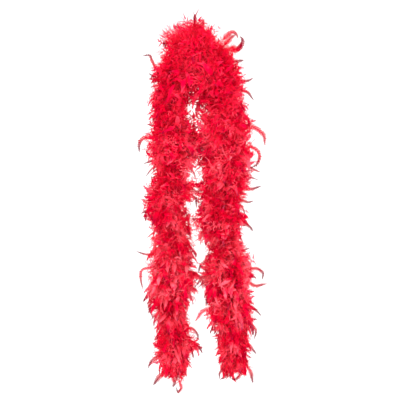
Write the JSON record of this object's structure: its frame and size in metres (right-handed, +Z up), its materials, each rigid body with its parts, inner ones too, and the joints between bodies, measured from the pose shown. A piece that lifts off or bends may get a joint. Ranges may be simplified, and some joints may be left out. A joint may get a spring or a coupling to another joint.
{
  "type": "feather boa",
  "caption": "Red feather boa folded over a hook: a cord with bunches of curled, fluffy feathers bound along it, hanging in two legs that end in knots.",
  "frame": {"origin": "underside of the cord at the top of the fold, where the boa rests on its hook or neck", "axes": "+Z up, the way the boa hangs; +X to the right seen from the front; the front faces -Y"},
  "size_m": [0.3254, 0.1441, 0.9836],
  "materials": {
    "cord": "matte twisted cotton",
    "thread": "matte sewing thread",
    "feather": "soft dyed feather, slightly sheeny"
  },
  "bodies": {
    "crown": {"cord_crown": "cord", "thread_crown": "thread", "feathers_crown_1": "feather", "feathers_crown_2": "feather", "feathers_crown_3": "feather", "feathers_crown_4": "feather"},
    "left_1": {"cord_left_1": "cord", "thread_left_1": "thread", "feathers_left_01": "feather", "feathers_left_02": "feather", "feathers_left_03": "feather"},
    "left_2": {"cord_left_2": "cord", "thread_left_2": "thread", "feathers_left_04": "feather", "feathers_left_05": "feather", "feathers_left_06": "feather"},
    "left_3": {"cord_left_3": "cord", "thread_left_3": "thread", "feathers_left_07": "feather", "feathers_left_08": "feather", "feathers_left_09": "feather"},
    "left_4": {"cord_left_4": "cord", "thread_left_4": "thread", "feathers_left_10": "feather", "feathers_left_11": "feather", "feathers_left_12": "feather"},
    "left_5": {"cord_left_5": "cord", "thread_left_5": "thread", "feathers_left_13": "feather", "feathers_left_14": "feather", "feathers_left_15": "feather", "whipping_left": "thread", "knot_left": "cord"},
    "right_1": {"cord_right_1": "cord", "thread_right_1": "thread", "feathers_right_01": "feather", "feathers_right_02": "feather", "feathers_right_03": "feather"},
    "right_2": {"cord_right_2": "cord", "thread_right_2": "thread", "feathers_right_04": "feather", "feathers_right_05": "feather", "feathers_right_06": "feather"},
    "right_3": {"cord_right_3": "cord", "thread_right_3": "thread", "feathers_right_07": "feather", "feathers_right_08": "feather", "feathers_right_09": "feather"},
    "right_4": {"cord_right_4": "cord", "thread_right_4": "thread", "feathers_right_10": "feather", "feathers_right_11": "feather", "feathers_right_12": "feather"},
    "right_5": {"cord_right_5": "cord", "thread_right_5": "thread", "feathers_right_13": "feather", "feathers_right_14": "feather", "feathers_right_15": "feather", "whipping_right": "thread", "knot_right": "cord"}
  },
  "joints": [
    {"name": "left_1_sideways_bend", "type": "hinge", "parent": "crown", "child": "left_1", "pos_m": [-0.07149, 0, -0.06892], "axis": [0, 1, 0], "range_deg": [0, 30]},
    {"name": "left_2_forward_bend", "type": "hinge", "parent": "left_1", "child": "left_2", "pos_m": [-0.07182, 0.00049, -0.2302], "axis": [-1, 0, 0], "range_deg": [-35, 35]},
    {"name": "left_3_sideways_bend", "type": "hinge", "parent": "left_2", "child": "left_3", "pos_m": [-0.08047, -0.00171, -0.39114], "axis": [0, 1, 0], "range_deg": [0, 30]},
    {"name": "left_4_forward_bend", "type": "hinge", "parent": "left_3", "child": "left_4", "pos_m": [-0.06732, 0.00156, -0.55088], "axis": [-1, 0, 0], "range_deg": [-35, 35]},
    {"name": "left_5_sideways_bend", "type": "hinge", "parent": "left_4", "child": "left_5", "pos_m": [-0.07094, -0.00139, -0.71181], "axis": [0, 1, 0], "range_deg": [0, 30]},
    {"name": "right_1_sideways_bend", "type": "hinge", "parent": "crown", "child": "right_1", "pos_m": [0.07153, 0, -0.06937], "axis": [0, -1, 0], "range_deg": [0, 30]},
    {"name": "right_2_forward_bend", "type": "hinge", "parent": "right_1", "child": "right_2", "pos_m": [0.07652, -0.00207, -0.22758], "axis": [-1, 0, 0], "range_deg": [-35, 35]},
    {"name": "right_3_sideways_bend", "type": "hinge", "parent": "right_2", "child": "right_3", "pos_m": [0.06742, 0.00262, -0.38492], "axis": [0, -1, 0], "range_deg": [0, 30]},
    {"name": "right_4_forward_bend", "type": "hinge", "parent": "right_3", "child": "right_4", "pos_m": [0.07695, -0.00286, -0.54169], "axis": [-1, 0, 0], "range_deg": [-35, 35]},
    {"name": "right_5_sideways_bend", "type": "hinge", "parent": "right_4", "child": "right_5", "pos_m": [0.08618, 0.00202, -0.69995], "axis": [0, -1, 0], "range_deg": [0, 30]}
  ]
}
